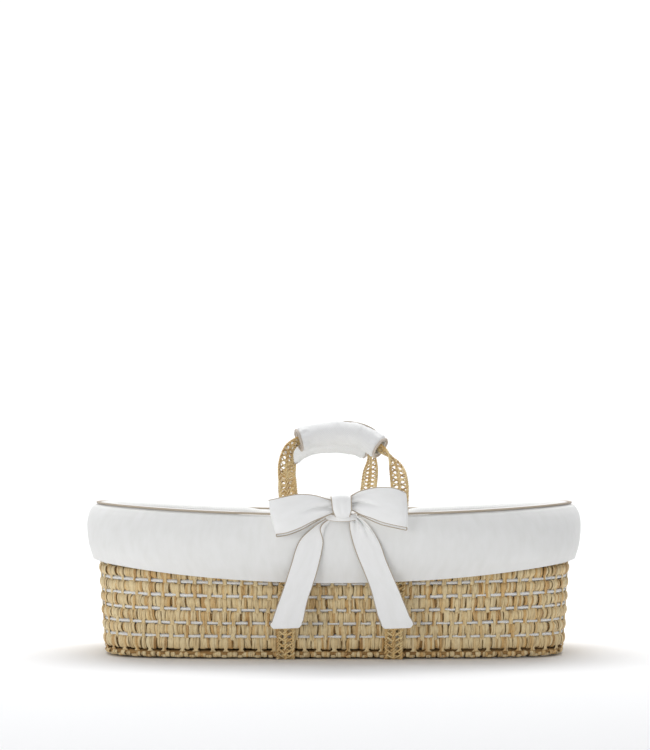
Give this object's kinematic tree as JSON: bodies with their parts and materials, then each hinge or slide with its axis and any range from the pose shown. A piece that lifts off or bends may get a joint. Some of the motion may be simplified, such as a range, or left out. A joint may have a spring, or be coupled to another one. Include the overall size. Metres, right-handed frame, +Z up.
{
  "type": "moses basket",
  "caption": "Oval coiled palm baby basket with leaning soft-grip carry handles, padded cloth cover tied with bows, mattress and quilt.",
  "frame": {"origin": "on the ground under the middle of the basket's overall box", "axes": "+Z up, +X towards the head end, where the mattress lies open; -Y is the front long side"},
  "size_m": [0.84, 0.508, 0.3872],
  "materials": {
    "palm_coil": "satin",
    "palm_braid": "satin",
    "cover_sateen": "matte",
    "cover_pique": "matte",
    "sheet_cotton": "matte",
    "quilt_cotton": "matte",
    "beige_piping": "matte",
    "chevron_braid": "matte",
    "beige_stud": "satin",
    "foam": "matte"
  },
  "bodies": {
    "basket": {"back_bow_knot": "cover_sateen", "back_bow_loop_left": "cover_sateen", "back_bow_loop_right": "cover_sateen", "back_bow_tail_left": "cover_sateen", "back_bow_tail_right": "cover_sateen", "basket_floor": "palm_coil", "front_bow_knot": "cover_sateen", "front_bow_loop_left": "cover_sateen", "front_bow_loop_right": "cover_sateen", "front_bow_tail_left": "cover_sateen", "front_bow_tail_right": "cover_sateen", "liner_bumper": "cover_pique", "liner_skirt": "cover_sateen", "rim_coil": "palm_coil", "rim_piping": "beige_piping", "strap_left": "palm_braid", "strap_right": "palm_braid", "wall_coil_01": "palm_coil", "wall_coil_02": "palm_coil", "wall_coil_03": "palm_coil", "wall_coil_04": "palm_coil", "wall_coil_05": "palm_coil", "wall_coil_06": "palm_coil", "wall_coil_07": "palm_coil", "wall_coil_08": "palm_coil", "wall_coil_09": "palm_coil"},
    "front_handle": {"front_flap_piping": "beige_piping", "front_grip_piping_left": "beige_piping", "front_grip_piping_right": "beige_piping", "front_grip_wrap": "cover_pique", "front_handle_braid": "palm_braid", "front_snap_left": "beige_stud", "front_snap_right": "beige_stud"},
    "back_handle": {"back_flap_piping": "beige_piping", "back_grip_piping_left": "beige_piping", "back_grip_piping_right": "beige_piping", "back_grip_wrap": "cover_pique", "back_handle_braid": "palm_braid", "back_snap_left": "beige_stud", "back_snap_right": "beige_stud"},
    "mattress": {"fitted_sheet": "sheet_cotton", "mattress_foam": "foam"},
    "quilt": {"chevron_trim": "chevron_braid", "flap_piping": "beige_piping", "quilt_body": "quilt_cotton", "quilt_flap": "quilt_cotton", "trim_piping_foot": "beige_piping", "trim_piping_head": "beige_piping"}
  },
  "joints": [
    {"name": "front_handle_swing", "type": "hinge", "parent": "basket", "child": "front_handle", "pos_m": [0, -0.207, 0.237], "axis": [1, 0, 0], "range_deg": [-55, 52]},
    {"name": "back_handle_swing", "type": "hinge", "parent": "basket", "child": "back_handle", "pos_m": [0, 0.207, 0.237], "axis": [-1, 0, 0], "range_deg": [-49, 58]},
    {"name": "mattress_lift", "type": "slide", "parent": "basket", "child": "mattress", "axis": [0, 0, 1], "range_m": [0, 0.06]},
    {"name": "quilt_lift", "type": "slide", "parent": "mattress", "child": "quilt", "axis": [0, 0, 1], "range_m": [0, 0.07]}
  ]
}
